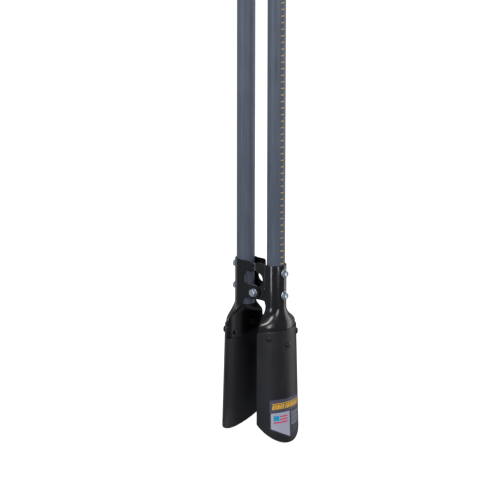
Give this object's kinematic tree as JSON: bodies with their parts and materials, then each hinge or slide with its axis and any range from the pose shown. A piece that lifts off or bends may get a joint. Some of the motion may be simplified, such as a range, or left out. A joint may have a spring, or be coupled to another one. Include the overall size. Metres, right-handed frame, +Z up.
{
  "type": "post hole digger",
  "caption": "Clamshell post hole digger with straight fibreglass handles; spreading the handles closes two curved riveted blades on the soil.",
  "frame": {"origin": "on the upright axis midway between the two handles, level with the blade points", "axes": "+Z up along the handles, X from the left handle to the right handle, Y along the pivot bolts with the front of the tool at -Y"},
  "size_m": [0.149, 0.121, 1.482],
  "materials": {
    "fibreglass": "slate grey pultruded fibreglass, satin",
    "core_wood": "plain hardwood dowel",
    "foam": "black closed-cell foam",
    "plug": "moulded black polyethylene",
    "neck_enamel": "gloss black enamel on pressed steel",
    "blade_enamel": "satin black enamel on tempered steel",
    "black_rivet": "black painted steel",
    "zinc": "bright zinc plate",
    "label_film": "printed vinyl film"
  },
  "bodies": {
    "left_half": {"left_handle": "fibreglass", "left_handle_core": "core_wood", "left_grip": "foam", "left_end_plug": "plug", "left_neck": "neck_enamel", "left_blade": "blade_enamel", "left_blade_rivets": "black_rivet", "left_handle_bolts": "zinc", "left_handle_washers": "zinc", "left_handle_nuts": "zinc", "front_pivot_bolt": "zinc", "front_pivot_washers": "zinc", "front_pivot_nut": "zinc"},
    "right_half": {"right_handle": "fibreglass", "right_handle_core": "core_wood", "right_grip": "foam", "right_end_plug": "plug", "right_neck": "neck_enamel", "right_blade": "blade_enamel", "right_blade_rivets": "black_rivet", "right_handle_bolts": "zinc", "right_handle_washers": "zinc", "right_handle_nuts": "zinc", "rear_pivot_bolt": "zinc", "rear_pivot_washers": "zinc", "rear_pivot_nut": "zinc", "blade_label": "label_film"}
  },
  "joints": [
    {"name": "clamshell_pivot", "type": "hinge", "parent": "left_half", "child": "right_half", "pos_m": [0, 0, 0.289], "axis": [0, 1, 0], "range_deg": [-1.5, 18]}
  ]
}
